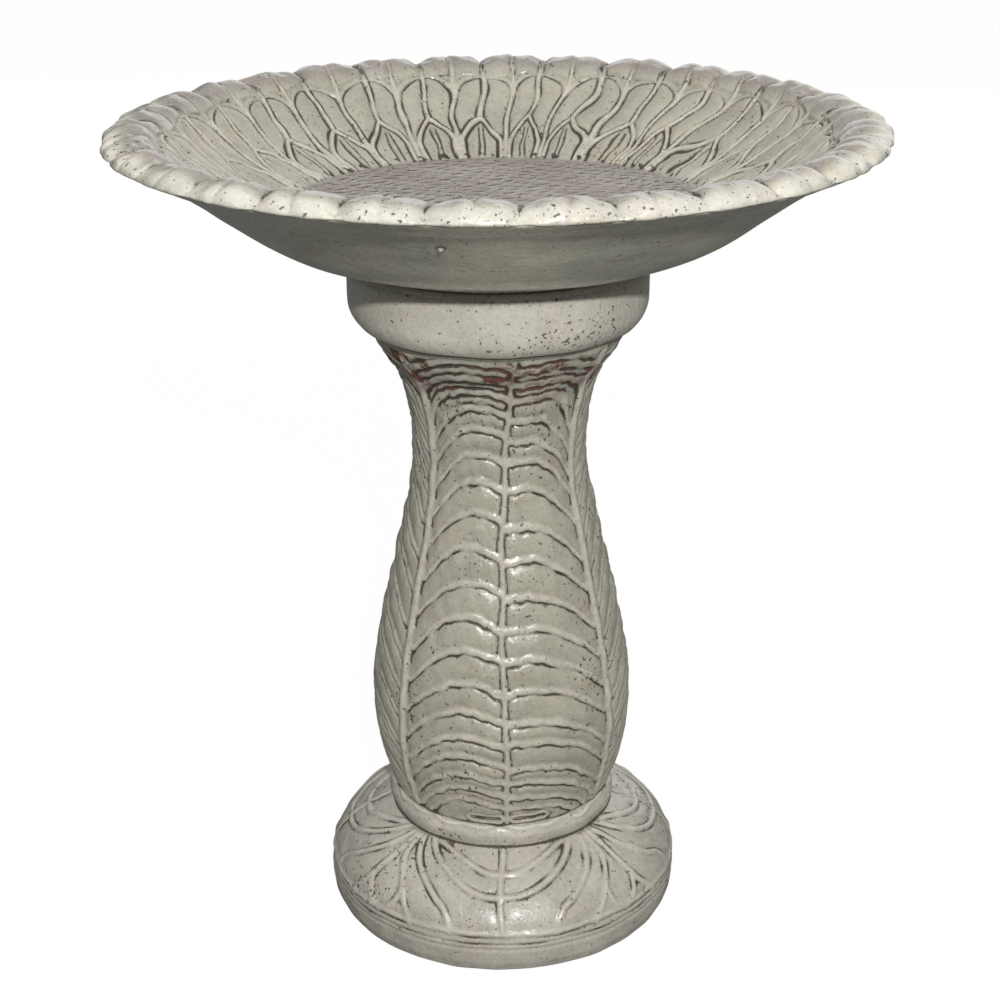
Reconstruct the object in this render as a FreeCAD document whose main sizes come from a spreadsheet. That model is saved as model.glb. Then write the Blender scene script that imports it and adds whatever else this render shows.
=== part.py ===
import FreeCAD, Part
import math
import os
import Sketcher

# A glazed ceramic bird bath: a wide leaf-rimmed bowl whose foot ring drops into the
# mouth of a hollow vase-shaped pedestal, with a rubber ring between the two.
# Millimetres, +Z up. The origin is the centre of the pedestal's foot, on the ground.
# The front is towards -Y.

SIZES = {
    # pedestal, outside
    "footRadius": 123.4,
    "plinthRadius": 127.4,
    "plinthEdgeHeight": 20,
    "ringBeadRadius": 124.0,
    "ringBeadHeight": 26,
    "beltRadius": 80,
    "beltBottom": 73,
    "beltTop": 87,
    "stemBaseRadius": 77.5,
    "stemBaseHeight": 90,
    "bellyRadius": 91.8,
    "bellyHeight": 160,
    "shoulderRadius": 79.7,
    "shoulderHeight": 240,
    "neckRadius": 59,
    "neckDrop": 83,
    "throatInset": 15,
    "throatDrop": 7,
    "collarWall": 19,
    "collarHeight": 43,
    "collarRoundInset": 6.4,
    "collarRoundHeight": 15,
    "pedestalHeight": 483,
    # pedestal, relief and hollow
    "stemRibHeight": 2.5,
    "midribAngle": 5,
    "borderAngle": 11,
    "leafCount": 3,
    "leafTurn": 6,
    "pedestalWall": 9,
    "ledgeWidth": 16,
    # joint between the two castings
    "socketDepth": 28,
    "footClearance": 2,
    "collarGap": 1.5,
    "softGap": 0.3,
    "seatRingThickness": 2.4,
    # bowl, heights counted from the underside of its foot ring
    "bowlFootRadius": 80,
    "bowlFootWidth": 12,
    "floorRadius": 142,
    "floorHeight": 56,
    "floorThickness": 12,
    "wallFootRise": 10,
    "wallFootWidth": 23,
    "leafTipRadius": 187,
    "leafTipHeight": 79,
    "archRadius": 218,
    "archHeight": 106,
    "rimRadius": 253,
    "rimHeight": 116.5,
    "rimCrestInset": 20,
    "rimCrestWidth": 6,
    "rimEdgeHeight": 108,
    "rimUnderInset": 5,
    "rimUnderHeight": 102.5,
    "underWallRadius": 216,
    "underWallHeight": 90.5,
    "underTurnRadius": 150,
    "underTurnHeight": 43,
    "underSeatMargin": 2,
    "rimNotchCount": 30,
    "rimNotchRadius": 6,
    "rimNotchDepth": 3,
    "rimNotchTurn": 9,
}

# What the two castings share: the socket holds the foot ring, and the collar holds the socket.
SOCKET_RADIUS = "(size.bowlFootRadius + size.footClearance)"
COLLAR_RADIUS = f"({SOCKET_RADIUS} + size.collarWall)"
COLLAR_FOOT = "(size.pedestalHeight - size.collarHeight)"
THROAT_HEIGHT = f"({COLLAR_FOOT} - size.throatDrop)"
LEDGE_HEIGHT = "(size.pedestalHeight - size.socketDepth)"
FOOT_LIFT = "(2 * size.softGap + size.seatRingThickness)"
SEAT_FACE = f"(size.socketDepth + size.collarGap - {FOOT_LIFT})"

doc = FreeCAD.newDocument("bird_bath")
sheet = doc.addObject("Spreadsheet::Sheet", "size")
for row, (alias, value) in enumerate(SIZES.items(), start=1):
    sheet.set(f"A{row}", alias)
    sheet.set(f"B{row}", str(value))
    sheet.setAlias(f"B{row}", alias)
doc.recompute()


def new_body(label):
    """An empty body, named as the piece it holds."""
    body = doc.addObject("PartDesign::Body", label)
    body.Label = label
    return body


def origin_feature(body, role):
    """One of the body's own origin planes or axes."""
    return next(item for item in body.Origin.OriginFeatures if item.Role == role)


def new_sketch(body, name, plane):
    sketch = body.newObject("Sketcher::SketchObject", name)
    sketch.AttachmentSupport = [(origin_feature(body, plane), "")]
    sketch.MapMode = "FlatFace"
    return sketch


def bind(sketch, constraint, expression):
    """Add a constraint whose value follows the spreadsheet."""
    index = sketch.addConstraint(constraint)
    sketch.setExpression(f"Constraints[{index}]", expression)


def chord_arc(start, end, sweep):
    """The arc from start to end that turns through sweep, anticlockwise if positive."""
    chord = end - start
    left = FreeCAD.Vector(-chord.y, chord.x, 0)
    centre = (start + end) * 0.5 + left * (0.5 / math.tan(sweep / 2))
    first, last = (start, end) if sweep > 0 else (end, start)
    angles = [math.atan2(point.y - centre.y, point.x - centre.x) for point in (first, last)]
    circle = Part.Circle(centre, FreeCAD.Vector(0, 0, 1), (start - centre).Length)
    return Part.ArcOfCircle(circle, *angles)


def draw_outline(sketch, corners):
    """Draw a closed section, each corner given as radius, height and the next edge's sweep.

    Radius and height are spreadsheet expressions, and None puts the corner on the axis.
    A sweep of 0 degrees is a straight edge. Corners run anticlockwise.
    """
    places = [
        FreeCAD.Vector(
            sketch.evalExpression(radius) if radius else 0,
            sketch.evalExpression(height) if height else 0,
            0,
        )
        for radius, height, _ in corners
    ]
    ends = []
    for index, (_, _, sweep) in enumerate(corners):
        start = places[index]
        end = places[(index + 1) % len(corners)]
        if sweep:
            edge = sketch.addGeometry(chord_arc(start, end, math.radians(sweep)))
            sketch.addConstraint(Sketcher.Constraint("Angle", edge, math.radians(abs(sweep))))
            ends.append((edge, 1, 2) if sweep > 0 else (edge, 2, 1))
        else:
            ends.append((sketch.addGeometry(Part.LineSegment(start, end)), 1, 2))
    for index, (radius, height, _) in enumerate(corners):
        edge, first, _ = ends[index]
        previous, _, last = ends[index - 1]
        sketch.addConstraint(Sketcher.Constraint("Coincident", previous, last, edge, first))
        for kind, axis, expression in (("DistanceX", -2, radius), ("DistanceY", -1, height)):
            if expression:
                value = sketch.evalExpression(expression)
                bind(sketch, Sketcher.Constraint(kind, -1, 1, edge, first, value), expression)
            else:
                sketch.addConstraint(Sketcher.Constraint("PointOnObject", edge, first, axis))


def revolve(body, name, sketch, angle=None):
    """Turn a section about the body's axis: fully, or symmetrically through an angle."""
    turned = body.newObject("PartDesign::Revolution", name)
    turned.Profile = sketch
    turned.ReferenceAxis = (sketch, ["V_Axis"])
    if angle:
        turned.Midplane = True
        turned.setExpression("Angle", angle)
    else:
        turned.Angle = 360
    doc.recompute()
    return turned


def repeat_around(body, name, feature, count):
    """Repeat a feature around the body's axis."""
    pattern = body.newObject("PartDesign::PolarPattern", name)
    pattern.Originals = [feature]
    pattern.Axis = (origin_feature(body, "Z_Axis"), [""])
    pattern.Angle = 360
    pattern.setExpression("Occurrences", count)
    body.Tip = pattern
    doc.recompute()
    return pattern


# The stem's outline from the belt up to the collar: radius, height, sweep of the next edge.
STEM = [
    ("size.stemBaseRadius", "size.stemBaseHeight", 22),
    ("size.bellyRadius", "size.bellyHeight", 11),
    ("size.shoulderRadius", "size.shoulderHeight", -12),
    ("size.neckRadius", f"{THROAT_HEIGHT} - size.neckDrop", -40),
    (f"{COLLAR_RADIUS} - size.throatInset", THROAT_HEIGHT, 0),
]


def stem_line(offset):
    """The stem's outline moved in or out by an offset."""
    return [(f"{radius} + {offset}", height, sweep) for radius, height, sweep in STEM]


def downwards(corners):
    """The same outline from its top to its foot."""
    sweeps = [sweep for _, _, sweep in corners[:-1]]
    turned = [-sweep for sweep in reversed(sweeps)] + [0]
    return [
        (radius, height, sweep)
        for (radius, height, _), sweep in zip(reversed(corners), turned)
    ]


def make_pedestal():
    """A hollow casting: plinth, belt, ribbed stem and a collar with the bowl's socket."""
    body = new_body("pedestal")
    section = new_sketch(body, "pedestal_section", "XZ_Plane")
    mouth = f"{SOCKET_RADIUS} - size.ledgeWidth"
    wall = "size.pedestalWall"
    outside = [
        ("size.footRadius", None, 0),
        ("size.plinthRadius", "size.plinthEdgeHeight", 0),
        ("size.ringBeadRadius", "size.ringBeadHeight", 56),
        ("size.beltRadius", "size.beltBottom", 0),
        ("size.beltRadius", "size.beltTop", 0),
        *STEM,
        (f"{COLLAR_RADIUS} - size.collarRoundInset", COLLAR_FOOT, 35),
        (COLLAR_RADIUS, f"{COLLAR_FOOT} + size.collarRoundHeight", 0),
        (COLLAR_RADIUS, "size.pedestalHeight", 0),
    ]
    inside = [
        (SOCKET_RADIUS, "size.pedestalHeight", 0),
        (SOCKET_RADIUS, LEDGE_HEIGHT, 0),
        (mouth, LEDGE_HEIGHT, 0),
        (mouth, f"{LEDGE_HEIGHT} - {wall}", 0),
        *downwards(stem_line("-size.pedestalWall"))[1:],
        (f"size.beltRadius - {wall}", "size.beltBottom", 0),
        (f"size.beltRadius - {wall}", f"size.beltBottom - {wall}", -50),
        (f"size.ringBeadRadius - {wall}", f"size.ringBeadHeight - {wall}", 0),
        (f"size.footRadius - {wall}", None, 0),
    ]
    draw_outline(section, outside + inside)
    revolve(body, "casting", section)

    # Three midribs, and between them the three borders where neighbouring leaves meet.
    spacing = sheet.evalExpression("360 / size.leafCount")
    for name, width, turn in (("midrib", "size.midribAngle", 0),
                              ("border", "size.borderAngle", spacing / 2)):
        rib_section = new_sketch(body, f"{name}_section", "XZ_Plane")
        rib_section.AttachmentOffset.Rotation = FreeCAD.Rotation(FreeCAD.Vector(0, 1, 0), turn)
        crest = stem_line("size.stemRibHeight")
        root = downwards(stem_line("-size.pedestalWall / 2"))
        draw_outline(rib_section, crest + root)
        rib = revolve(body, name, rib_section, width)
        repeat_around(body, f"{name}s", rib, "size.leafCount")
    body.setExpression("Placement.Rotation.Angle", "size.leafTurn - 90")
    return body


def make_bowl():
    """A shallow casting with a notched rolled rim and a foot ring for the socket."""
    body = new_body("bowl")
    section = new_sketch(body, "bowl_section", "XZ_Plane")
    draw_outline(section, [
        (None, "size.floorHeight - size.floorThickness", 0),
        ("size.bowlFootRadius - size.bowlFootWidth", "size.floorHeight - size.floorThickness", 0),
        ("size.bowlFootRadius - size.bowlFootWidth", None, 0),
        ("size.bowlFootRadius", None, 0),
        ("size.bowlFootRadius", SEAT_FACE, 0),
        (f"{COLLAR_RADIUS} + size.underSeatMargin", SEAT_FACE, 15),
        ("size.underTurnRadius", "size.underTurnHeight", 16),
        ("size.underWallRadius", "size.underWallHeight", -8),
        ("size.rimRadius - size.rimUnderInset", "size.rimUnderHeight", 60),
        ("size.rimRadius", "size.rimEdgeHeight", 80),
        ("size.rimRadius - size.rimCrestInset", "size.rimHeight", 0),
        ("size.rimRadius - size.rimCrestInset - size.rimCrestWidth", "size.rimHeight", 45),
        ("size.archRadius", "size.archHeight", -8),
        ("size.leafTipRadius", "size.leafTipHeight", -8),
        ("size.floorRadius + size.wallFootWidth", "size.floorHeight + size.wallFootRise", -30),
        ("size.floorRadius", "size.floorHeight", 0),
        (None, "size.floorHeight", 0),
    ])
    casting = revolve(body, "casting", section)

    notch_section = new_sketch(body, "rim_notch_section", "YZ_Plane")
    centre = "size.rimHeight + size.rimNotchRadius - size.rimNotchDepth"
    middle = FreeCAD.Vector(0, notch_section.evalExpression(centre), 0)
    radius = notch_section.evalExpression("size.rimNotchRadius")
    circle = notch_section.addGeometry(Part.Circle(middle, FreeCAD.Vector(0, 0, 1), radius))
    notch_section.addConstraint(Sketcher.Constraint("PointOnObject", circle, 3, -2))
    bind(notch_section, Sketcher.Constraint("DistanceY", -1, 1, circle, 3, middle.y), centre)
    bind(notch_section, Sketcher.Constraint("Radius", circle, radius), "size.rimNotchRadius")
    notch = body.newObject("PartDesign::Pocket", "rim_notch")
    notch.Profile = notch_section
    notch.setExpression("Length", "size.rimRadius + size.rimNotchRadius")
    doc.recompute()
    repeat_around(body, "rim_notches", notch, "size.rimNotchCount")
    if body.Shape.Volume >= casting.Shape.Volume:
        raise RuntimeError("the rim notches cut nothing")

    body.setExpression("Placement.Base.z", f"{LEDGE_HEIGHT} + {FOOT_LIFT}")
    body.setExpression("Placement.Rotation.Angle", "size.rimNotchTurn")
    return body


def make_seat_ring():
    """A flat rubber ring on the socket's ledge, as wide as the bowl's foot ring."""
    body = new_body("seat_ring")
    section = new_sketch(body, "seat_ring_section", "XY_Plane")
    for expression in ("size.bowlFootRadius", "size.bowlFootRadius - size.bowlFootWidth"):
        radius = section.evalExpression(expression)
        circle = section.addGeometry(
            Part.Circle(FreeCAD.Vector(), FreeCAD.Vector(0, 0, 1), radius))
        section.addConstraint(Sketcher.Constraint("Coincident", circle, 3, -1, 1))
        bind(section, Sketcher.Constraint("Radius", circle, radius), expression)
    ring = body.newObject("PartDesign::Pad", "ring")
    ring.Profile = section
    ring.setExpression("Length", "size.seatRingThickness")
    body.setExpression("Placement.Base.z", f"{LEDGE_HEIGHT} + size.softGap")
    return body


pieces = [make_pedestal(), make_seat_ring(), make_bowl()]
doc.recompute()

for item in doc.Objects:
    if "Invalid" in item.State or "Error" in item.State:
        raise RuntimeError(f"{item.Label} failed: {item.State}")
for piece in pieces:
    if piece.Shape.isNull() or not piece.Shape.isValid() or len(piece.Shape.Solids) != 1:
        raise RuntimeError(f"{piece.Label} is not one valid solid")

os.makedirs("parts", exist_ok=True)
for piece in pieces:
    piece.Shape.exportStep(f"parts/{piece.Label}.step")
    box = piece.Shape.BoundBox
    print(f"{piece.Label}: volume {piece.Shape.Volume / 1e6:.3f} l,"
          f" z {box.ZMin:.1f} to {box.ZMax:.1f}, {box.XLength:.1f} x {box.YLength:.1f}")
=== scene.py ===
import math

import bpy
import numpy as np
from mathutils import Matrix, Vector


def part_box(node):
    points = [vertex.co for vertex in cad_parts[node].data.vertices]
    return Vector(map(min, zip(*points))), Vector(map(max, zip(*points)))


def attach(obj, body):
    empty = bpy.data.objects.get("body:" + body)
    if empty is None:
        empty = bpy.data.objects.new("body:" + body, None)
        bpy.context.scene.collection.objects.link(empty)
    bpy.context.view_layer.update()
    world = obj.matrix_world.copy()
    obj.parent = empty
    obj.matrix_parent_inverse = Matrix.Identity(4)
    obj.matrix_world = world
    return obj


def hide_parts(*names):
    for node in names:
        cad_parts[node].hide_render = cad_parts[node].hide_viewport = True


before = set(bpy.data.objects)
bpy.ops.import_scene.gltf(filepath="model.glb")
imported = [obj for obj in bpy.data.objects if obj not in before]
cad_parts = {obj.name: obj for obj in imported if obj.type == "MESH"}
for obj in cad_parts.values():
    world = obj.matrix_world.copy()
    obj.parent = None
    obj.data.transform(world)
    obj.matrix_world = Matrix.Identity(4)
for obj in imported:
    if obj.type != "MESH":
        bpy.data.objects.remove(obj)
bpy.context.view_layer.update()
fullTurn = 2 * math.pi
millimetre = 0.001  # sizes below are written in millimetres


def stroke(distance, width):
    # a soft round line, 1 on its centre
    return np.exp(-(distance / width) ** 2)


def ramp(value, low, high):
    # 0 below low, 1 above high, smooth between
    t = np.clip((value - low) / (high - low), 0, 1)
    return t * t * (3 - 2 * t)


def window(value, start, end, soft):
    return ramp(value, start - soft, start + soft) * (1 - ramp(value, end - soft, end + soft))


def wander(angle, along, seed, turns, reach, waves=7):
    # smooth hand-made unevenness that closes on itself round the axis
    rng = np.random.default_rng(seed)
    total = 0
    for _ in range(waves):
        around = int(rng.integers(1, turns + 1))
        rise = rng.uniform(-1, 1) * fullTurn / reach
        total = total + np.sin(angle * around + along * rise + rng.uniform(0, fullTurn))
    return total / math.sqrt(waves)


def nearest(distances, soft=0.7):
    # distance to the nearest of several lines, rounded where they meet
    total = sum(np.exp(-np.clip(distance, -3 * soft, 40) / soft) for distance in distances)
    return -soft * np.log(total)


def only(distance, share):
    # a line that fades out where its share falls to nothing
    return distance + 9 * (1 - share)


def smoothCurve(points, step=0.25):
    # a curve through the points, with tangents from their neighbours
    points = np.array(points, float)
    gaps = np.linalg.norm(np.diff(points, axis=0), axis=1)
    at = np.concatenate([[0], np.cumsum(gaps)])
    slopes = np.gradient(points, at, axis=0)
    fine = np.linspace(0, at[-1], max(2, int(at[-1] / step)))
    place = np.clip(np.searchsorted(at, fine, side="right") - 1, 0, len(gaps) - 1)
    t = ((fine - at[place]) / gaps[place])[:, None]
    gap = gaps[place][:, None]
    start = (2 * t**3 - 3 * t**2 + 1) * points[place] + (t**3 - 2 * t**2 + t) * gap * slopes[place]
    end = (3 * t**2 - 2 * t**3) * points[place + 1] + (t**3 - t**2) * gap * slopes[place + 1]
    return start + end


def straightRun(points, step=0.25):
    runs = []
    for a, b in zip(points[:-1], points[1:]):
        count = max(2, int(math.dist(a, b) / step))
        runs.append(np.linspace(a, b, count))
    return np.vstack(runs)


def softened(line, radius, step=0.25):
    # rounds every corner of a line, and leaves its ends in place
    gaps = np.linalg.norm(np.diff(line, axis=0), axis=1)
    keep = np.concatenate([[True], gaps > 1e-6])
    line = line[keep]
    at = np.concatenate([[0], np.cumsum(np.linalg.norm(np.diff(line, axis=0), axis=1))])
    even = np.arange(0, at[-1], step)
    line = np.stack([np.interp(even, at, column) for column in line.T], 1)
    reach = int(3 * radius / step)
    weights = np.exp(-0.5 * (np.arange(-reach, reach + 1) * step / radius) ** 2)
    weights /= weights.sum()
    before = 2 * line[0] - line[reach:0:-1]
    after = 2 * line[-1] - line[-2:-reach - 2:-1]
    padded = np.vstack([before, line, after])
    return np.stack([np.convolve(column, weights, "valid") for column in padded.T], 1)


class Outline:
    # a section line in millimetres, read by its length
    def __init__(self, line):
        self.line = line
        gaps = np.linalg.norm(np.diff(line, axis=0), axis=1)
        self.at = np.concatenate([[0], np.cumsum(gaps)])
        self.length = self.at[-1]

    def lengthAt(self, radius, height):
        # how far along the line its nearest point is
        return self.at[np.argmin(np.hypot(self.line[:, 0] - radius, self.line[:, 1] - height))]

    def read(self, along):
        radius = np.interp(along, self.at, self.line[:, 0])
        height = np.interp(along, self.at, self.line[:, 1])
        before = np.clip(along - 0.5, 0, self.length)
        after = np.clip(along + 0.5, 0, self.length)
        dr = np.interp(after, self.at, self.line[:, 0]) - np.interp(before, self.at, self.line[:, 0])
        dz = np.interp(after, self.at, self.line[:, 1]) - np.interp(before, self.at, self.line[:, 1])
        size = np.hypot(dr, dz)
        return radius, height, -dz / size, dr / size


maskNames = ("ridge", "crevice", "cream", "floorTone", "clay", "plain", "stain")


def makeStrip(outline, along, columns, relief=None, drop=None):
    # one band of a turned shape: relief(angle, along, radius, height) gives depth and masks
    radius, height, outR, outZ = (part[:, None] for part in outline.read(np.asarray(along, float)))
    angle = (np.arange(columns) * fullTurn / columns)[None, :]
    depth, masks = 0, {}
    if relief:
        depth, masks = relief(angle, np.asarray(along, float)[:, None], radius, height)
    r = radius + depth * outR
    z = height + depth * outZ + 0 * angle
    if drop:
        z = z + drop(angle, np.asarray(along, float)[:, None])
    points = np.stack([r * np.cos(angle), r * np.sin(angle), z], -1) * millimetre
    full = {name: np.broadcast_to(masks.get(name, 0.0), z.shape) for name in maskNames}
    return points, full


def stitch(lower, upper):
    # faces between two rings, one of which may have several times the other's points
    if len(lower) == len(upper):
        return [(lower[i], upper[i], upper[(i + 1) % len(upper)], lower[(i + 1) % len(lower)])
                for i in range(len(lower))]
    faces = []
    if len(upper) > len(lower):
        ratio = len(upper) // len(lower)
        for i, corner in enumerate(lower):
            fan = [upper[(i * ratio + k) % len(upper)] for k in range(ratio + 1)]
            faces.append((corner, *fan, lower[(i + 1) % len(lower)]))
    else:
        ratio = len(lower) // len(upper)
        for i, corner in enumerate(upper):
            fan = [lower[(i * ratio + k) % len(lower)] for k in range(ratio + 1)]
            faces.append((*reversed(fan), corner, upper[(i + 1) % len(upper)]))
    return faces


def turnedMesh(name, strips, closed=False, tips=()):
    # joins the strips in order, and the last to the first when closed; each tip is a point on
    # the axis that fills one ring: (strip, height, whether it fills the strip's first ring)
    points, masks, quads, others, rings = [], [], [], [], []
    start = 0
    for stripPoints, stripMasks in strips:
        rows, columns = stripPoints.shape[:2]
        index = start + np.arange(rows * columns).reshape(rows, columns)
        after = np.roll(index, -1, axis=1)
        quads.append(np.stack([index[:-1], index[1:], after[1:], after[:-1]], -1).reshape(-1, 4))
        points.append(stripPoints.reshape(-1, 3))
        masks.append(np.stack([stripMasks[key].reshape(-1) for key in maskNames], 1))
        rings.append((index[0], index[-1]))
        start += rows * columns
    for (_, last), (first, _) in zip(rings[:-1], rings[1:]):
        others += stitch(list(last), list(first))
    if closed:
        others += stitch(list(rings[-1][1]), list(rings[0][0]))
    for strip, height, atStart in tips:
        chosen = rings[strip][0] if atStart else rings[strip][1]
        points.append(np.array([[0, 0, height * millimetre]]))
        masks.append(masks[strip][:1] if atStart else masks[strip][-1:])
        for i in range(len(chosen)):
            pair = (chosen[i], chosen[(i + 1) % len(chosen)])
            others.append((start, *pair) if atStart else (start, *reversed(pair)))
        start += 1
    points, masks = np.vstack(points), np.vstack(masks)
    quads = np.vstack(quads)
    corners = np.concatenate([quads.reshape(-1), [v for face in others for v in face]])
    sizes = np.concatenate([np.full(len(quads), 4), [len(face) for face in others]]).astype(int)
    mesh = bpy.data.meshes.new(name)
    mesh.vertices.add(len(points))
    mesh.vertices.foreach_set("co", points.reshape(-1).astype(np.float32))
    mesh.loops.add(len(corners))
    mesh.loops.foreach_set("vertex_index", corners.astype(np.int32))
    mesh.polygons.add(len(sizes))
    mesh.polygons.foreach_set("loop_start", np.concatenate([[0], np.cumsum(sizes)[:-1]]).astype(np.int32))
    mesh.update(calc_edges=True)
    mesh.polygons.foreach_set("use_smooth", np.ones(len(sizes), bool))
    for column, key in enumerate(maskNames):
        layer = mesh.attributes.new(key, "FLOAT", "POINT")
        layer.data.foreach_set("value", masks[:, column].astype(np.float32))
    mesh.update()
    mesh.validate()
    piece = bpy.data.objects.new(name, mesh)
    bpy.context.scene.collection.objects.link(piece)
    return piece


def evenly(start, end, step):
    return np.linspace(start, end, max(2, int(round((end - start) / step)) + 1))


def noRelief(*place):
    return 0, {"plain": 1.0}


bowlLow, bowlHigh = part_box("bowl")
footHeight = bowlLow.z / millimetre  # underside of the bowl's foot ring
bowlLook = {
    "rimRadius": bowlHigh.x / millimetre,
    "leafCount": 30,
    "leafTurn": math.radians(9),  # a midrib of the middle row
    "floorRadius": 142,
    "floorHeight": 56,  # the bowl's heights are from its foot ring's underside
    "columns": 1200,
    "floorColumns": 600,
    "underColumns": 400,
    "step": 1.0,
    "lean": 0.12,  # how far the inner row has swung round, as a share of the pitch
    "leanSpread": 0.13,
    "sag": 3.6,
    "dripTurn": math.radians(-98.8),  # a bead of glaze on the underside
    "ridgeHeight": 1.2,
    "grooveDepth": 1.6,
    "notchDepth": 5.2,
    "combGap": 7,  # between the strokes combed into the floor
    "dripPlace": 53,  # along the outline from the lip's edge
    "fineUnder": 60,  # how far under the lip the finest mesh goes
}


def bowlSection():
    rim = bowlLook["rimRadius"]
    floor = bowlLook["floorRadius"]
    level = bowlLook["floorHeight"]
    inside = smoothCurve([(floor, level), (floor + 23, level + 10), (187, 79), (203, 91.5), (218, 106),
                          (rim - 26, 114.5), (rim - 19, 117), (rim - 8, 115), (rim - 1, 110),
                          (rim - 0.5, 105.5), (rim - 4, 102.5)])
    under = smoothCurve([(rim - 4, 102.5), (rim - 14, 100), (rim - 28, 94.5), (207, 83), (187, 68),
                         (164, 51), (143, 40), (122, 33), (103, 27.5)])
    foot = straightRun([(103, 26.5), (80, 26.5), (80, 0), (68, 0), (68, 44), (0.5, 44)])
    line = np.vstack([straightRun([(0.5, level), (floor, level)]), inside, under, foot])
    line[:, 1] += footHeight
    return Outline(softened(line, 0.7))


bowlOutline = bowlSection()


def bowlMark(radius, height):
    return bowlOutline.lengthAt(radius, footHeight + height)


bowlMarks = {
    "floor": bowlMark(bowlLook["floorRadius"], bowlLook["floorHeight"]),
    "tip": bowlMark(187, 79),
    "spring": bowlMark(204, 92.3),
    "arch": bowlMark(218, 106),
    "crest": bowlMark(bowlLook["rimRadius"] - 19, 117),
    "edge": bowlMark(bowlLook["rimRadius"] - 0.3, 107.5),
    "seat": bowlMark(103, 26.5),
}


def undercut(along):
    # the lip hangs a little over the plain underside
    past = along - bowlMarks["edge"]
    return -2.6 * ramp(past, -0.5, 2.5) * (1 - ramp(past, 7, 24))


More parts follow.
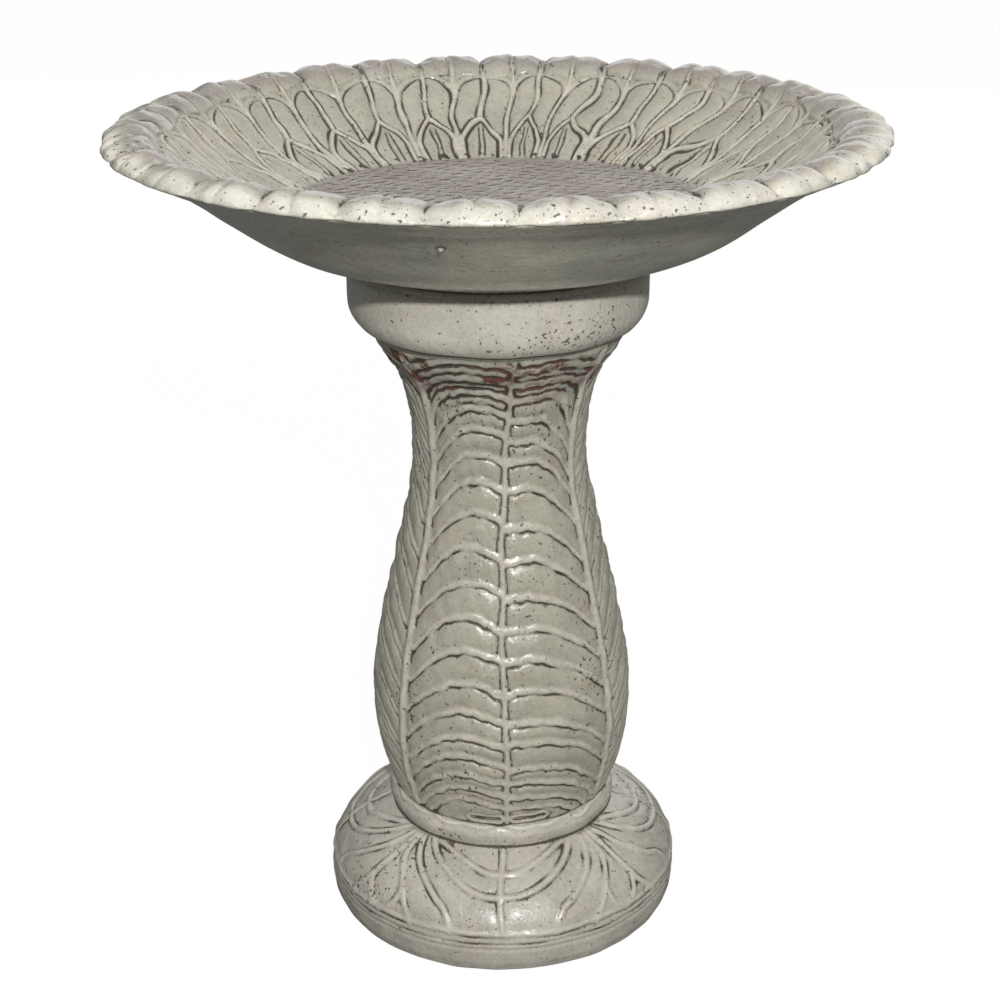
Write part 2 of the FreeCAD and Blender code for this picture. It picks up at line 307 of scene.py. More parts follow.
def bowlRelief(angle, along, radius, height):
    look, marks = bowlLook, bowlMarks
    pitch = fullTurn * radius / look["leafCount"]
    s = along - marks["floor"]  # how far up the wall from the floor's edge
    tip, spring, arch, crest, edge = (marks[key] - marks["floor"]
                                      for key in ("tip", "spring", "arch", "crest", "edge"))

    # the leaves lean over as they come down to the floor
    lean = look["lean"] + look["leanSpread"] * wander(angle, 0 * along, 10, 14, 60)
    sway = 0.03 * wander(angle, along, 11, 40, 60) + 0.018 * wander(angle, along, 12, 90, 25)
    sway = sway - lean * (1 - ramp(s, tip - 10, spring + 8))
    turn = (angle - look["leafTurn"]) * look["leafCount"] / fullTurn + sway
    u = (turn + 0.5) % 1 - 0.5  # -0.5 to 0.5 across one leaf
    across = np.abs(u) * pitch
    toBorder = pitch / 2 - across
    lift = 1.6 * wander(angle, 0 * along, 13, 25, 60)
    uneven = 1 + 0.25 * wander(angle, along, 14, 60, 20)

    # inner row: short pointed leaves standing on the floor
    q = np.clip((tip + lift - s) / tip, 0, 1)
    fat = 0.4 + 0.04 * wander(angle, 0 * along, 17, 30, 60)
    half = fat * pitch * (1 - (1 - np.clip(q / 0.55, 0, 1)) ** 1.35)
    slope = np.clip(np.gradient(half, axis=0) / np.gradient(along, axis=0), -3, 3)
    fromTip = (across - half) / np.sqrt(1 + slope**2)
    inTip = 1 - ramp(fromTip, -0.5, 0.5)
    tipWindow = 1 - ramp(s, tip + lift, tip + lift + 1.5)

    # middle row: long ovals closed by an arch
    rise = np.clip((s - spring) / (arch + lift - spring), 0, 1)
    archHalf = 0.5 * pitch * np.sqrt(np.clip(1 - rise**2, 0, 1))
    archSlope = np.clip(np.gradient(archHalf, axis=0) / np.gradient(along, axis=0), -30, 30)
    fromArch = (across - archHalf) / np.sqrt(1 + archSlope**2)
    archWindow = window(s, spring - 1, arch + lift + 0.5, 1.5)

    lines = [
        only(np.abs(fromTip), tipWindow),
        only(toBorder, window(s, 1, spring + 2, 2)),
        only(np.abs(fromArch), archWindow),
        only(across, window(s, tip + lift - 1, crest, 2)),
        only(1.25 * toBorder, window(s, spring - 2, crest + 2, 2)),
    ]
    near = nearest(lines)

    # ribs inside the inner leaves, fanning down to the floor
    spread = 0.17 * pitch * (0.45 + 0.55 * q) * (1 + 0.2 * wander(angle, along, 18, 60, 30))
    ribs = np.minimum(across, np.abs(across - spread))
    ribWindow = window(s, 3, tip - 12, 3) * inTip
    ribRidge = stroke(ribs, 0.9) * ribWindow
    ribGroove = stroke(across - 0.5 * spread, 0.9) * ribWindow

    body = stroke(near, 1.5)
    trough = stroke(near - 2.4, 0.8)
    weight = np.clip(0.95 + 0.35 * wander(angle, along, 19, 70, 22), 0.25, 1.25)
    weight = weight * (1 - 0.45 * ramp(s, arch - 6, arch + 8)) + 0.35 * inTip
    belowArch = 1 - ramp(fromArch, -0.5, 0.5) * window(s, spring, arch, 2)
    weight = weight * (0.35 + 0.65 * belowArch)
    edgeBlots = window(s, 1.5, 7, 1.5) * ramp(wander(angle, along, 20, 160, 9), 0.3, 1.1)
    groove = np.clip(trough * weight + 0.8 * ribGroove + 0.9 * edgeBlots, 0, 1.2)

    body = body * (1 - 0.55 * stroke(fromArch, 2) * archWindow * (1 - stroke(toBorder, 3)))
    depth = look["ridgeHeight"] * uneven * body + 0.5 * ribRidge
    depth = depth - look["grooveDepth"] * groove
    depth = depth + 1.6 * (1 - stroke(near, 5.5)) * window(s, 6, crest - 6, 5)

    # rolled rim: a deep notch between leaves and a shallow one at each midrib
    onRim = ramp(s, crest - 14, crest - 2) * (1 - 0.6 * ramp(s, edge - 7, edge + 1))
    swell = np.abs(np.sin(fullTurn * u)) ** 0.6
    swell = swell * np.clip(1 + 0.45 * wander(angle, 0 * along, 25, 45, 60), 0.2, 2)
    notch = look["notchDepth"] * (1 - np.abs(np.sin(math.pi * u)) ** 0.65)
    notch = notch * (1 + 0.2 * wander(angle, 0 * along, 15, 40, 60)) + 0.8 * np.exp(-toBorder / 3)
    depth = depth + (0.9 * swell - notch + 0.6 * wander(angle, along, 26, 110, 14)) * onRim
    crack = stroke(across, 1.2) * (1 + 0.3 * wander(angle, 0 * along, 22, 60, 60))
    crack = crack + 0.4 * stroke(toBorder, 0.8)
    crack = crack * ramp(s, crest - 24, crest - 8) * (1 - 0.75 * ramp(s, crest + 3, crest + 12))
    crack = crack * (1 - ramp(s, edge - 3, edge))
    depth = depth - 0.8 * crack + 0.3 * wander(angle, along, 16, 60, 16)

    brim = edge + 1.1 * wander(angle, 0 * along, 23, 160, 60)
    onLip = ramp(s, crest + 4, crest + 14)
    fromDrip = np.hypot((angle - look["dripTurn"] % fullTurn) * radius, s - edge - look["dripPlace"])
    masks = {
        "ridge": np.clip(1.1 * body * (1 - 0.8 * np.clip(crack, 0, 1)) + 0.6 * ribRidge, 0, 1),
        "crevice": np.clip(groove + crack + 0.8 * stroke(fromDrip - 2.6, 0.9), 0, 1),
        "cream": onLip,
        # painted highlight: the glaze bead is left out of the plain underside, so it takes the bright
        # cream tone
        "plain": ramp(s, brim - 0.8, brim + 0.8) * (1 - ramp(stroke(fromDrip, 1.7), 0.1, 0.4)),
        # the band under the crest takes the floor's darker tone as painted shade on the rim's inner lobes
        "floorTone": 1 - ramp(s, -1, 3) + 0.8 * window(s, crest - 14, crest + 3, 5),
        "stain": ramp(wander(angle, along, 24, 14, 60), 0.3, 1.6) * (1 - 0.4 * onLip) + 0.35 * onLip,
    }
    depth = depth * ramp(s, 0, 2.5) * (1 - ramp(s, edge + 1, edge + 6)) + undercut(along)
    return depth + 2.8 * stroke(fromDrip, 1.7), masks


def rimSag(angle, along):
    # the casting's rim sits a little lower at the back
    marks = bowlMarks
    share = ramp(along, marks["floor"], marks["crest"])
    share = share * (1 - ramp(along, marks["edge"] + 20, marks["seat"]))
    return -bowlLook["sag"] * share * (0.5 + 0.5 * np.sin(angle))


def floorRelief(angle, along, radius, height):
    # short overlapping strokes combed into the floor
    x = radius * np.cos(angle)
    y = radius * np.sin(angle)
    bend = 2.2 * np.sin(x / 15 + y / 23) + 1.5 * np.sin(x / 6.7 - y / 9.5 + 1)
    bend = bend + 0.9 * np.sin(x / 3.4 + y / 5.2)
    lie = y - (0.42 - 0.0012 * y) * x + 0.9 * bend
    gap = bowlLook["combGap"]
    comb = np.sin(lie * fullTurn / gap)
    row = np.floor(lie / gap + 0.25)
    dash = 0.5 + 0.5 * np.sin((x + 0.6 * y) / 3.1 + 2.4 * row + 1.4 * np.sin(x / 19 + row))
    valley = np.clip(-1.3 * comb + 0.1, 0, 1) ** 1.6 * (0.25 + 0.9 * dash)
    crest = np.clip(comb, 0, 1) * (0.4 + 0.6 * dash)
    inner = 1 - ramp(radius, bowlLook["floorRadius"] - 4, bowlLook["floorRadius"] - 0.5)
    masks = {
        "crevice": np.clip(1.3 * valley, 0, 1) * inner,
        "floorTone": 1.0,
        "ridge": 0.6 * crest * inner,
    }
    return 0.8 * (crest - valley) * inner, masks


def underRelief(angle, along, radius, height):
    start = bowlMarks["edge"] + bowlLook["fineUnder"]
    drift = 0.5 * wander(angle, along, 21, 9, 90) * ramp(along, start, start + 20)
    return drift + undercut(along), {"plain": 1.0}


def buildBowl():
    marks, look = bowlMarks, bowlLook
    step = look["step"]
    floor = makeStrip(bowlOutline, evenly(3, marks["floor"], 1.2 * step), look["floorColumns"],
                      floorRelief)
    split = marks["edge"] + look["fineUnder"]
    wall = makeStrip(bowlOutline, evenly(marks["floor"] + step, split, step), look["columns"],
                     bowlRelief, rimSag)
    under = makeStrip(bowlOutline, evenly(split + 1.5, marks["seat"], 2 * step), look["underColumns"],
                      underRelief, rimSag)
    foot = makeStrip(bowlOutline, evenly(marks["seat"] + 1, bowlOutline.length - 0.5, 1.2 * step),
                     look["underColumns"], noRelief)
    tips = [(0, footHeight + look["floorHeight"], True), (3, footHeight + 44, False)]
    return turnedMesh("bowlCasting", [floor, wall, under, foot], tips=tips)


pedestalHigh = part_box("pedestal")[1]
pedestalLook = {
    "height": pedestalHigh.z / millimetre,
    "leafEdges": (-139, -35, 93, 221),  # where the leaves meet, in degrees round the stem
    "leanHeights": (90, 150, 230, 300, 400, 440),
    "leans": (0.0, -0.02, -0.04, -0.04, 0.055, 0.07),  # the midrib's sideways drift up the stem
    "columns": 600,
    "step": 1.0,
    "veinCount": 19,
    "veinLow": 104,
    "veinHigh": 426,
    "veinCrowding": 0.34,  # how much closer the veins stand at both ends
    "veinShoulder": 1.6,  # how broad the top of each vein is
    "neckStart": 375,  # the veins flatten and darken between these heights
    "neckEnd": 415,
    "podHeight": 95.5,  # two flattened pods at the foot of each leaf
    "podHalf": 3.4,
    "podAside": 15.5,  # from the midrib
    "podReach": 13.5,
    "leftRise": 10,
    "leftFall": 21,
    "rightRise": 3,
    "rightFall": 29,
    "ridgeHeight": 1.0,
    "grooveDepth": 1.5,
    "motifCount": 4,
    "motifTurn": math.radians(-90),
    "patchTurn": math.radians(-62),  # where iron specks crowd low on the collar
    "paintedShadeUnderBowl": 0.42,  # painted shade: the collar's top darkened where the bowl's overhang shades it
}


def pedestalSection():
    top = pedestalLook["height"]
    ledge = straightRun([(66, top - 28), (82, top - 28), (82, top), (101, top), (101, top - 26)])
    collar = smoothCurve([(101, top - 26), (100.4, top - 33), (98.5, top - 38), (94.8, top - 43)])
    throat = straightRun([(94.8, top - 43), (90, top - 46), (86, top - 48)])
    stem = smoothCurve([(86, top - 48), (79.5, top - 61), (70.9, 410), (62.7, 385), (59, 357), (60.3, 330),
                        (65.9, 300), (72.7, 270), (79.7, 240), (86.1, 210), (90.4, 182), (91.8, 160),
                        (90.3, 135), (84.7, 110), (79, 94), (77.3, 89)])
    belt = smoothCurve([(77.3, 89), (79.8, 86.5), (81.6, 80), (80, 73.5)])
    dome = smoothCurve([(80, 72.5), (94, 65.8), (108.8, 56), (119, 45), (124.6, 35), (126.6, 27)])
    edge = straightRun([(126.6, 27), (127.4, 24), (127.4, 21), (126.4, 19.5), (127.2, 17), (125.9, 7),
                        (123.4, 0), (114, 0), (114, 14)])
    inner = smoothCurve([(114, 14), (106, 32), (90, 50), (71, 64), (69, 80), (75.7, 110), (82.8, 160),
                         (77, 210), (63.7, 270), (52, 330), (50, 357), (54, 400), (66, top - 37)])
    line = np.vstack([ledge, collar, throat, stem, belt, dome, edge, inner,
                      straightRun([(66, top - 37), (66, top - 29)])])
    return Outline(softened(line, 0.6))


pedestalOutline = pedestalSection()
pedestalMarks = {
    "collarFoot": pedestalOutline.lengthAt(94.8, pedestalLook["height"] - 43),
    "stemFoot": pedestalOutline.lengthAt(77.3, 89),
    "beltFoot": pedestalOutline.lengthAt(80, 73),
    "domeFoot": pedestalOutline.lengthAt(126.6, 27),
    "foot": pedestalOutline.lengthAt(123.4, 0.5),
}


def domeLengths():
    # the plinth's radius against the length of the outline, for placing its fronds
    along = np.linspace(pedestalMarks["beltFoot"], pedestalMarks["domeFoot"], 60)
    return pedestalOutline.read(along)[0], along


domeLength = domeLengths()


def veinHeights():
    look = pedestalLook
    share = np.arange(look["veinCount"]) / (look["veinCount"] - 1)
    eased = share - look["veinCrowding"] * np.sin(fullTurn * share) / fullTurn
    return look["veinLow"] + (look["veinHigh"] - look["veinLow"]) * eased


def stemRelief(angle, along, radius, height):
    look = pedestalLook
    edges = np.radians(look["leafEdges"])
    widths = np.diff(edges)
    turned = (angle - edges[0]) % fullTurn
    leaf = np.clip(np.searchsorted(np.cumsum(widths), turned, side="right"), 0, len(widths) - 1)
    half = widths[leaf] / 2
    u = (turned - (edges[leaf] - edges[0])) / half - 1  # -1 to 1 across one leaf
    u = u - np.interp(height, look["leanHeights"], look["leans"]) * (1 - u**2)
    u = u + 0.012 * wander(angle, along, 31, 4, 60) * (1 - u**2)
    toMid = np.abs(u) * half * radius
    toEdge = (1 - np.abs(u)) * half * radius
    right = ramp(u, -0.02, 0.02)
    share = np.clip(np.abs(u) * 1.08, 0, 1)
    rise = look["leftRise"] + (look["rightRise"] - look["leftRise"]) * right
    fall = look["leftFall"] + (look["rightFall"] - look["leftFall"]) * right
    high = ramp(height, look["neckStart"], look["neckEnd"])
    curve = rise * np.sin(math.pi * share) - fall * (1 - 0.55 * high - 0.2 * high * right) * share**2.5
    curve = curve * (1 - 0.3 * high) + 0.8 * wander(angle, along, 32, 16, 45)
    curve = curve + 0.5 * wander(angle, along, 39, 60, 30)

    # distance to the vein above and to the vein below
    under, over = 40.0, 40.0
    rng = np.random.default_rng(5)
    for level in veinHeights():
        offset = rng.uniform(-1.2, 1.2) * (1 - right) + (rng.uniform(-2.2, 2.2) - 1) * right
        distance = height - (level + offset + curve)
        under = np.minimum(under, np.where(distance < 0, -distance, 40.0))
        over = np.minimum(over, np.where(distance >= 0, distance, 40.0))
    over = np.maximum(over - look["veinShoulder"], 0)
    top = look["veinHigh"] + 7
    onStem = window(height, look["veinLow"] - 9, top, 2)
    fromPods = np.abs(height - look["podHeight"])
    pod = np.maximum(fromPods - look["podHalf"],
                     np.abs(toMid - look["podAside"]) + 0.8 * fromPods - look["podReach"])
    low = 1 - ramp(height, 100, 102)
    near = nearest([under, over, 1.15 * toMid, only(np.maximum(toEdge - 1.6, 0), onStem),
                    only(np.abs(pod), low)])

    uneven = 1 + 0.22 * wander(angle, along, 33, 30, 25)
    body = stroke(near, 1.9 * uneven) * (1 - 0.25 * stroke(toEdge, 5))
    rib = stroke(toEdge, 2.7)
    weight = np.where(under < over, 1.0, 0.2 + 0.6 * high)
    weight = weight * (0.75 + 0.4 * wander(angle, along, 35, 30, 20))
    weight = np.where(toMid < np.minimum(under, over) + 0.5, 0.65, weight)
    trough = stroke(near - 2.5 - 0.5 * (under > over), 0.8 + 0.35 * high) * np.clip(weight, 0.05, 1.1)
    wash = 0.13 * stroke(near - 3.4, 2.0) * np.clip(weight, 0, 1)
    depth = look["ridgeHeight"] * uneven * body - look["grooveDepth"] * trough
    depth = depth + 1.3 * rib + 1.5 * (1 - stroke(near, 5.5)) - 0.3
    depth = depth + 0.3 * wander(angle, along, 34, 40, 20)
    raw = high * (1 - ramp(height, 432, 440))
    raw = raw * np.clip(0.6 + 0.4 * wander(angle, along, 36, 9, 30), 0, 1)
    blots = ramp(wander(angle, along, 30, 26, 11), 0.3, 1.2) * ramp(height, 396, 420)
    masks = {
        "ridge": np.clip(0.85 * body * (1 - 0.4 * raw) + 0.35 * rib, 0, 1),
        "crevice": np.clip(trough * (1 + 0.6 * high) + wash + 0.2 * raw * (1 - body) + 0.3 * blots, 0, 1),
        "clay": np.clip(raw * (1.3 * trough + 0.55 * body) + 0.9 * blots * raw, 0, 1),
        "stain": ramp(wander(angle, along, 37, 6, 90), 0.2, 1.6),
    }
    fade = window(height, 91, top, 1.5)
    return depth * fade, {key: value * fade for key, value in masks.items()}


frondScale = 110  # a radius halfway down the plinth, to measure its fronds at
# each frond on the plinth: (degrees from the motif's midrib, radius) from the belt outwards
frondPaths = (
    ((31, 81), (21, 88.5), (13, 94.8), (7, 98.5), (0, 99.5)),
    ((35.5, 81), (29, 93), (22, 102), (14.5, 108.8), (7.5, 112), (0, 113)),
    ((41, 84), (35.5, 101), (30, 110.5), (25, 116.5), (20.5, 120.5), (17.5, 126)),
    ((44, 84), (42.5, 103), (40, 112), (38, 118), (36, 122), (32, 126.3)),
    ((38.2, 117.5), (40, 123.5), (45, 126)),
)


def plinthRelief(angle, along, radius, height):
    look, marks = pedestalLook, pedestalMarks
    span = fullTurn / look["motifCount"]
    phi = (angle - look["motifTurn"] + span / 2) % span - span / 2
    phi = phi + math.radians(1.0) * wander(angle, along, 41, 6, 60)
    turn = np.abs(phi)
    ring = marks["domeFoot"] - 4 + 0.8 * wander(angle, 0 * along, 45, 14, 60)
    onDome = window(along, marks["beltFoot"], ring, 0.8)
    lines = [only(turn * radius, onDome), np.abs(along - ring)]
    belt = marks["beltFoot"]
    for path in frondPaths:
        curve = smoothCurve([(math.radians(t) * frondScale, r) for t, r in path], 0.8)
        closest = 40.0
        for knotTurn, knotRadius in curve:
            aside = (turn - knotTurn / frondScale) * radius
            closest = np.minimum(closest, np.hypot(aside, along - np.interp(knotRadius, *domeLength)))
        lines.append(closest)
    near = nearest(lines)
    uneven = 1 + 0.25 * wander(angle, along, 46, 40, 30)
    body = stroke(near, 1.8 + 0.25 * uneven)
    weight = np.clip(0.4 + 0.3 * wander(angle, along, 47, 40, 25), 0.05, 0.9)
    trough = stroke(near - 2.8, 0.9) * weight * (1 - 0.8 * stroke(along - ring + 4.5, 4))
    trough = trough + 0.1 * stroke(near - 3.6, 2.4)
    lowLine = stroke(along - marks["domeFoot"] - 3.5, 1.1)
    fade = ramp(along - belt, 0.5, 3) * (1 - ramp(along, ring + 3, ring + 5))
    patchy = 0.7 + 0.3 * wander(angle, along, 48, 20, 60)
    depth = (1.2 * uneven * body - 1.0 * trough + 0.5 * (1 - stroke(near, 7))) * fade
    depth = depth + 0.25 * wander(angle, along, 42, 30, 25) - 0.9 * lowLine
    masks = {"ridge": np.clip(0.7 * body, 0, 1) * fade,
             "crevice": np.clip(trough * fade + 0.75 * lowLine * patchy, 0, 1),
             "floorTone": 0.3,
             "stain": ramp(wander(angle, along, 49, 8, 70), 0.1, 1.4)}
    return depth, masks


def outerRelief(angle, along, radius, height):
    # the whole outside of the pedestal, from the collar's top to the foot
    look, marks = pedestalLook, pedestalMarks
    beltMiddle = (marks["stemFoot"] + marks["beltFoot"]) / 2
    split = np.searchsorted(along[:, 0], beltMiddle)
    upper = stemRelief(angle, along[:split], radius[:split], height[:split])
    lower = plinthRelief(angle, along[split:], radius[split:], height[split:])
    shape = (len(along), angle.shape[1])
    depth = np.vstack([np.broadcast_to(upper[0], (split, shape[1])),
                       np.broadcast_to(lower[0], (shape[0] - split, shape[1]))])
    masks = {key: np.vstack([np.broadcast_to(upper[1].get(key, 0.0), (split, shape[1])),
                             np.broadcast_to(lower[1].get(key, 0.0), (shape[0] - split, shape[1]))])
             for key in maskNames}
    under = stroke(along - marks["collarFoot"] - 3, 1.7) * (1 + 0 * angle)
    seams = 0.9 * stroke(along - marks["stemFoot"] + 1.8, 1.1)
    seams = seams + 0.85 * stroke(along - marks["beltFoot"], 1.4)
    masks["crevice"] = np.clip(masks["crevice"] + 1.3 * under + seams, 0, 1)
    smear = under * ramp(wander(angle, along, 38, 5, 40), -0.2, 0.8)
    masks["clay"] = np.clip(masks["clay"] + smear, 0, 1)
    bead = stroke(along - marks["stemFoot"] - 1.6 + 1.3 * wander(angle, 0 * along, 43, 20, 60), 1.6)
    depth = depth + 1.9 * bead - 0.8 * under + 0.3 * wander(angle, along, 44, 12, 60)
    masks["ridge"] = np.clip(masks["ridge"] + bead, 0, 1)
    onCollar = 1 - ramp(along, marks["collarFoot"] - 4, marks["collarFoot"])
    patch = stroke((angle - look["patchTurn"] + math.pi) % fullTurn - math.pi, 0.4)
    patch = patch * ramp(along, marks["collarFoot"] - 34, marks["collarFoot"] - 8)
    masks["stain"] = np.clip(masks["stain"] * (1 - onCollar) + onCollar * (0.1 + 1.7 * patch), 0, 2)
    onPlinth = ramp(along, marks["stemFoot"], marks["stemFoot"] + 2)
    # painted shade: the collar's top under the bowl's overhang is darkened through the crevice mask
    paintedShadeUnderBowl = look["paintedShadeUnderBowl"] * (1 - ramp(along, marks["collarFoot"] - 42, marks["collarFoot"] - 30))
    masks["crevice"] = np.clip(masks["crevice"] + paintedShadeUnderBowl, 0, 1)
    # the collar's cream is its own glaze colour; the plinth's share is painted light, lightening it as if
    # lit from below
    masks["cream"] = np.broadcast_to(0.6 * onCollar + 0.45 * onPlinth, depth.shape)
    return depth, masks


def buildPedestal():
    look, marks = pedestalLook, pedestalMarks
    step = look["step"]
    collarTop = pedestalOutline.lengthAt(101, look["height"] - 4)
    socket = makeStrip(pedestalOutline, evenly(0, collarTop - 1, 1.5 * step), look["columns"] // 2)
    outside = makeStrip(pedestalOutline, evenly(collarTop, marks["foot"], step), look["columns"],
                        outerRelief)
    hollow = makeStrip(pedestalOutline, evenly(marks["foot"] + 1, pedestalOutline.length - 1, 4 * step),
                       look["columns"] // 4, noRelief)
    return turnedMesh("pedestalCasting", [socket, outside, hollow], closed=True)


def nodeMaker(tree):
    def make(kind, links=None, **values):
        node = tree.nodes.new(kind)
        for key, value in values.items():
            setattr(node, key, value)
        for socket, source in (links or {}).items():
            target = node.inputs[socket]
            if isinstance(source, bpy.types.NodeSocket):
                tree.links.new(source, target)
            else:
                target.default_value = source
        return node
    return make


def mixColour(make, factor, first, second, blend="MIX"):
    node = make("ShaderNodeMix", data_type="RGBA", blend_type=blend, clamp_factor=True)
    tree = node.id_data
    for index, source in ((0, factor), (6, first), (7, second)):
        if isinstance(source, bpy.types.NodeSocket):
            tree.links.new(source, node.inputs[index])
        else:
            node.inputs[index].default_value = source
    return node.outputs[2]


def maths(make, operation, first, second):
    return make("ShaderNodeMath", {0: first, 1: second}, operation=operation).outputs[0]


def spread(make, value, low, high, toLow=0.0, toHigh=1.0):
    node = make("ShaderNodeMapRange", {"Value": value, "From Min": low, "From Max": high,
                                       "To Min": toLow, "To Max": toHigh},
                interpolation_type="SMOOTHSTEP")
    return node.outputs[0]


def noise(make, place, scale, detail=3.0, rough=0.55, distortion=0.0):
    return make("ShaderNodeTexNoise", {"Vector": place, "Scale": scale, "Detail": detail,
                                       "Roughness": rough, "Distortion": distortion}).outputs[0]


def glazeGroup():
    # an antique glaze: thin and pale on ridges, pooled dark in grooves, mottled between
    group = bpy.data.node_groups.new("antiqueGlaze", "ShaderNodeTree")
    for name, kind in (
        ("Place", "NodeSocketVector"), ("Ridge", "NodeSocketFloat"), ("Crevice", "NodeSocketFloat"),
        ("Clay", "NodeSocketFloat"), ("Stain", "NodeSocketFloat"), ("Panel", "NodeSocketColor"),
        ("Panel Shade", "NodeSocketColor"), ("Pale", "NodeSocketColor"), ("Pooled", "NodeSocketColor"),
        ("Dark", "NodeSocketColor"), ("Clay Colour", "NodeSocketColor"),
    ):
        group.interface.new_socket(name, in_out="INPUT", socket_type=kind)
    for name, kind in (("Colour", "NodeSocketColor"), ("Roughness", "NodeSocketFloat"),
                       ("Height", "NodeSocketFloat")):
        group.interface.new_socket(name, in_out="OUTPUT", socket_type=kind)
    make = nodeMaker(group)
    given = make("NodeGroupInput").outputs
    place = given["Place"]

    broad = spread(make, noise(make, place, 24, 4, 0.6, 0.4), 0.36, 0.64)
    fine = spread(make, noise(make, place, 330, 3, 0.65), 0.33, 0.67)
    grain = spread(make, noise(make, place, 1100, 2, 0.6), 0.3, 0.7)
    tone = maths(make, "ADD", maths(make, "MULTIPLY", broad, 0.45), maths(make, "MULTIPLY", fine, 0.4))
    tone = maths(make, "ADD", tone, maths(make, "MULTIPLY", grain, 0.3))
    panel = mixColour(make, tone, given["Panel Shade"], given["Panel"])
    flush = maths(make, "MULTIPLY", spread(make, noise(make, place, 34, 4, 0.65), 0.5, 0.68), 0.7)
    panel = mixColour(make, flush, panel, (0.98, 0.90, 0.87, 1), "MULTIPLY")

    # pale ridges, worn unevenly
    wear = spread(make, noise(make, place, 190, 5, 0.7), 0.34, 0.6, 0.25, 1.0)
    paleMask = maths(make, "MULTIPLY", spread(make, given["Ridge"], 0.25, 0.95), wear)
    blush = maths(make, "MULTIPLY", spread(make, noise(make, place, 60, 3, 0.6), 0.5, 0.66), 0.5)
    pale = mixColour(make, blush, given["Pale"], (0.98, 0.88, 0.84, 1), "MULTIPLY")
    colour = mixColour(make, paleMask, panel, pale)

    # a brown wash beside the grooves and ragged dark lines in them; the same layers lay the painted shade
    # on the collar's top under the bowl
    ragged = maths(make, "SUBTRACT", noise(make, place, 620, 4, 0.75), 0.5)
    washed = maths(make, "ADD", given["Crevice"], maths(make, "MULTIPLY", ragged, 0.5))
    wash = maths(make, "MULTIPLY", spread(make, washed, 0.08, 0.7), 0.62)
    colour = mixColour(make, wash, colour, given["Pooled"])
    line = maths(make, "ADD", given["Crevice"], maths(make, "MULTIPLY", ragged, 1.3))
    darkMask = maths(make, "MULTIPLY", spread(make, line, 0.36, 0.68), 0.9)
    colour = mixColour(make, darkMask, colour, given["Dark"])

    # bare reddish clay
    bare = spread(make, noise(make, place, 170, 4, 0.65), 0.40, 0.54)
    clayMask = maths(make, "MULTIPLY", spread(make, given["Clay"], 0.15, 0.75), bare)
    colour = mixColour(make, clayMask, colour, given["Clay Colour"])

    # scattered pits and iron specks, thicker where the glaze is stained
    crowd = noise(make, place, 380, 1, 0.5)
    crowd = maths(make, "ADD", crowd, maths(make, "MULTIPLY", given["Stain"], 0.07))
    crowd = maths(make, "ADD", crowd, maths(make, "MULTIPLY", given["Crevice"], 0.07))
    crowd = maths(make, "ADD", crowd, maths(make, "MULTIPLY", noise(make, place, 40, 2, 0.5), 0.12))
    pits = spread(make, crowd, 0.765, 0.80)
    colour = mixColour(make, maths(make, "MULTIPLY", pits, 0.8), colour, given["Dark"])

    roughness = maths(make, "ADD", 0.22, maths(make, "MULTIPLY", broad, 0.08))
    roughness = maths(make, "ADD", roughness, maths(make, "MULTIPLY", darkMask, 0.3))
    roughness = maths(make, "ADD", roughness, maths(make, "MULTIPLY", clayMask, 0.35))
    height = maths(make, "ADD", maths(make, "MULTIPLY", fine, 0.3),
                   maths(make, "MULTIPLY", noise(make, place, 95, 3, 0.6), 1.3))
    height = maths(make, "SUBTRACT", height, maths(make, "MULTIPLY", pits, 0.7))
    height = maths(make, "SUBTRACT", height, maths(make, "MULTIPLY", darkMask, 0.4))
    result = make("NodeGroupOutput")
    group.links.new(colour, result.inputs["Colour"])
    group.links.new(roughness, result.inputs["Roughness"])
    group.links.new(height, result.inputs["Height"])
    return group


glaze = glazeGroup()


def attribute(make, name):
    return make("ShaderNodeAttribute", attribute_name=name).outputs["Fac"]


def newMaterial(name):
    material = bpy.data.materials.new(name)
    material.use_nodes = True
    tree = material.node_tree
    tree.nodes.clear()
    make = nodeMaker(tree)
    shader = make("ShaderNodeBsdfPrincipled")
    output = make("ShaderNodeOutputMaterial")
    tree.links.new(shader.outputs[0], output.inputs[0])
    return material, tree, make, shader


castingTones = {
    "panel": (0.49, 0.47, 0.385, 1),
    "panelShade": (0.345, 0.335, 0.27, 1),
    "pale": (0.61, 0.58, 0.495, 1),
    "pooled": (0.16, 0.14, 0.105, 1),
    "dark": (0.045, 0.034, 0.025, 1),
    "clay": (0.13, 0.042, 0.028, 1),
    "cream": (0.80, 0.77, 0.67, 1),
    "creamShade": (0.58, 0.55, 0.48, 1),
    "floor": (0.38, 0.34, 0.31, 1),
    "floorShade": (0.22, 0.19, 0.17, 1),
    # the underside's own plain tone, lightened as painted fill light from below
    "under": (0.66, 0.65, 0.53, 1),
    "underShade": (0.40, 0.40, 0.325, 1),
}


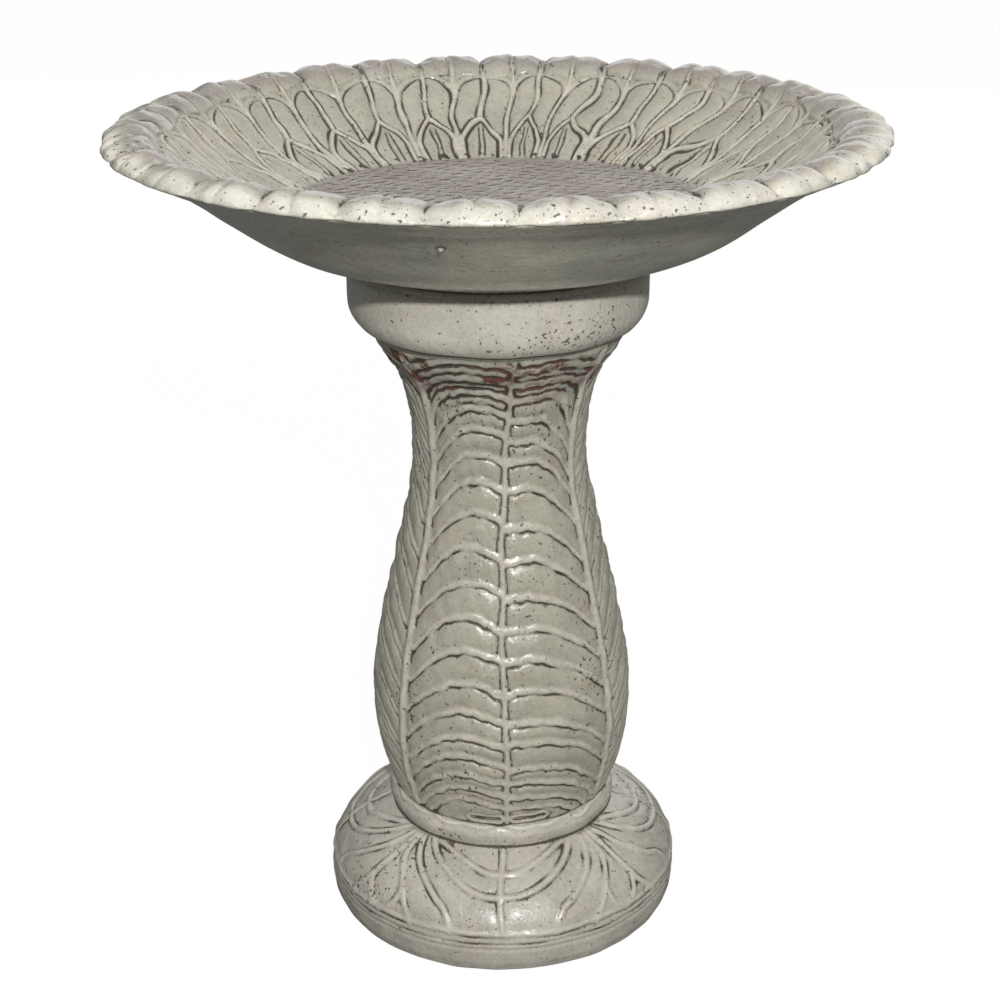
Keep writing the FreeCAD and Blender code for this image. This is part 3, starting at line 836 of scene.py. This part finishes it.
def castingMaterial(name):
    material, tree, make, shader = newMaterial(name)
    place = make("ShaderNodeTexCoord").outputs["Object"]
    tones = castingTones
    layers = make("ShaderNodeGroup", node_tree=glaze)
    ragged = maths(make, "MULTIPLY", maths(make, "SUBTRACT", noise(make, place, 420, 3, 0.7), 0.5), 1.8)
    plain = spread(make, maths(make, "ADD", attribute(make, "plain"), ragged), 0.42, 0.58)
    for socket, first, inCream, onFloor, underneath in (
        ("Panel", "panel", "cream", "floor", "under"),
        ("Panel Shade", "panelShade", "creamShade", "floorShade", "underShade"),
        ("Pale", "pale", "cream", "panel", "under"),
    ):
        tone = mixColour(make, attribute(make, "cream"), tones[first], tones[inCream])
        tone = mixColour(make, attribute(make, "floorTone"), tone, tones[onFloor])
        tone = mixColour(make, plain, tone, tones[underneath])
        tree.links.new(tone, layers.inputs[socket])
    tree.links.new(place, layers.inputs["Place"])
    for socket, key in (("Ridge", "ridge"), ("Crevice", "crevice"), ("Clay", "clay"), ("Stain", "stain")):
        tree.links.new(attribute(make, key), layers.inputs[socket])
    for socket, key in (("Pooled", "pooled"), ("Dark", "dark"), ("Clay Colour", "clay")):
        layers.inputs[socket].default_value = tones[key]
    tree.links.new(layers.outputs["Colour"], shader.inputs["Base Color"])
    tree.links.new(layers.outputs["Roughness"], shader.inputs["Roughness"])
    shader.inputs["Coat Weight"].default_value = 0.25
    shader.inputs["Coat Roughness"].default_value = 0.05
    shader.inputs["IOR"].default_value = 1.5
    bump = make("ShaderNodeBump", {"Strength": 0.55, "Distance": 0.0008,
                                   "Height": layers.outputs["Height"]})
    tree.links.new(bump.outputs[0], shader.inputs["Normal"])
    return material


rubberTones = {"clean": (0.018, 0.018, 0.018, 1), "dusty": (0.06, 0.058, 0.055, 1)}


def rubberMaterial(name):
    material, tree, make, shader = newMaterial(name)
    place = make("ShaderNodeTexCoord").outputs["Object"]
    dust = spread(make, noise(make, place, 90, 4, 0.6), 0.4, 0.7)
    colour = mixColour(make, dust, rubberTones["clean"], rubberTones["dusty"])
    tree.links.new(colour, shader.inputs["Base Color"])
    tree.links.new(spread(make, dust, 0, 1, 0.5, 0.75), shader.inputs["Roughness"])
    bump = make("ShaderNodeBump", {"Strength": 0.3, "Distance": 0.0004,
                                   "Height": noise(make, place, 900, 2, 0.5)})
    tree.links.new(bump.outputs[0], shader.inputs["Normal"])
    return material


studio = {
    "cameraPlace": (0, -1.254, 0.8242),
    "cameraPitch": 22.5,
    "cameraRoll": -0.46,
    "lens": 70.0,
    "aim": (0, 0, 0.4),  # where the lights point
    "keyTurn": 6,  # degrees to the right of the camera
    "keyRise": 27,
    "keyDistance": 3.2,
    "keySize": 0.12,
    "keyPower": 76,
    "topPlace": (0, -0.4, 3.0),
    "topSize": 2.4,
    "topPower": 4,
    "backPlace": (0.6, 3.0, 0.9),
    "backSize": 3.0,
    "backPower": 26,
    "lowLight": 0.02,  # the room's light near the horizon
    "highLight": 0.52,
    "floorReach": 14,
    "floorTone": (0.17, 0.17, 0.165, 1),
    "floorGlow": 1.14,  # the floor looks white to the camera
    "floorGlowShare": 0.86,
}


def aimedLight(name, place, target, size, power):
    data = bpy.data.lights.new(name, "AREA")
    data.shape = "DISK"
    data.size = size
    data.energy = power
    light = bpy.data.objects.new(name, data)
    bpy.context.scene.collection.objects.link(light)
    light.location = place
    light.rotation_euler = (Vector(target) - Vector(place)).to_track_quat("-Z", "Y").to_euler()


def buildStudio():
    scene = bpy.context.scene
    scene.view_settings.view_transform = "Standard"
    data = bpy.data.cameras.new("camera")
    data.lens = studio["lens"]
    data.sensor_width = 36
    camera = bpy.data.objects.new("camera", data)
    scene.collection.objects.link(camera)
    tilt = Matrix.Rotation(math.radians(90 - studio["cameraPitch"]), 4, "X")
    roll = Matrix.Rotation(math.radians(studio["cameraRoll"]), 4, "Z")
    camera.matrix_world = Matrix.Translation(studio["cameraPlace"]) @ tilt @ roll
    scene.camera = camera

    aim = studio["aim"]
    turn, rise = math.radians(studio["keyTurn"]), math.radians(studio["keyRise"])
    far = studio["keyDistance"]
    key = (far * math.cos(rise) * math.sin(turn), -far * math.cos(rise) * math.cos(turn),
           aim[2] + far * math.sin(rise))
    aimedLight("key", key, aim, studio["keySize"], studio["keyPower"])
    aimedLight("top", studio["topPlace"], aim, studio["topSize"], studio["topPower"])
    aimedLight("back", studio["backPlace"], aim, studio["backSize"], studio["backPower"])

    world = bpy.data.worlds.new("room")
    scene.world = world
    world.use_nodes = True
    tree = world.node_tree
    make = nodeMaker(tree)
    seen = make("ShaderNodeLightPath").outputs["Is Camera Ray"]
    outward = make("ShaderNodeTexCoord").outputs["Generated"]
    upward = make("ShaderNodeSeparateXYZ", {0: outward}).outputs[2]
    soft = spread(make, upward, 0.1, 0.55, studio["lowLight"], studio["highLight"])
    strength = make("ShaderNodeMix", {0: seen, 2: soft, 3: 1.0}, data_type="FLOAT").outputs[0]
    background = tree.nodes["Background"]
    background.inputs[0].default_value = (1, 1, 1, 1)
    tree.links.new(strength, background.inputs[1])

    mesh = bpy.data.meshes.new("floor")
    reach, count = studio["floorReach"], 96
    ring = [(reach * math.cos(i * fullTurn / count), reach * math.sin(i * fullTurn / count), 0)
            for i in range(count)]
    mesh.from_pydata(ring, [], [tuple(range(count))])
    floor = bpy.data.objects.new("floor", mesh)
    scene.collection.objects.link(floor)
    material, tree, make, shader = newMaterial("paleFloor")
    shader.inputs["Base Color"].default_value = studio["floorTone"]
    shader.inputs["Roughness"].default_value = 0.9
    shader.inputs["Specular IOR Level"].default_value = 0.0
    glow = make("ShaderNodeEmission", {"Color": (1, 1, 1, 1), "Strength": studio["floorGlow"]})
    seen = make("ShaderNodeLightPath").outputs["Is Camera Ray"]
    share = maths(make, "MULTIPLY", seen, studio["floorGlowShare"])
    blend = make("ShaderNodeMixShader", {0: share, 1: shader.outputs[0], 2: glow.outputs[0]})
    tree.links.new(blend.outputs[0], tree.nodes["Material Output"].inputs[0])
    mesh.materials.append(material)


buildStudio()
print("studio ready")

bowl = buildBowl()
bowl.data.materials.append(castingMaterial("bowlGlaze"))
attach(bowl, "bowl")
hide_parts("bowl")
print("bowl ready", len(bowl.data.polygons))

pedestal = buildPedestal()
pedestal.data.materials.append(castingMaterial("pedestalGlaze"))
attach(pedestal, "pedestal")
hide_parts("pedestal")
print("pedestal ready", len(pedestal.data.polygons))

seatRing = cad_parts["seat_ring"]
seatRing.data.materials.clear()
seatRing.data.materials.append(rubberMaterial("seatRubber"))
print("seat ring ready", len(seatRing.data.polygons))
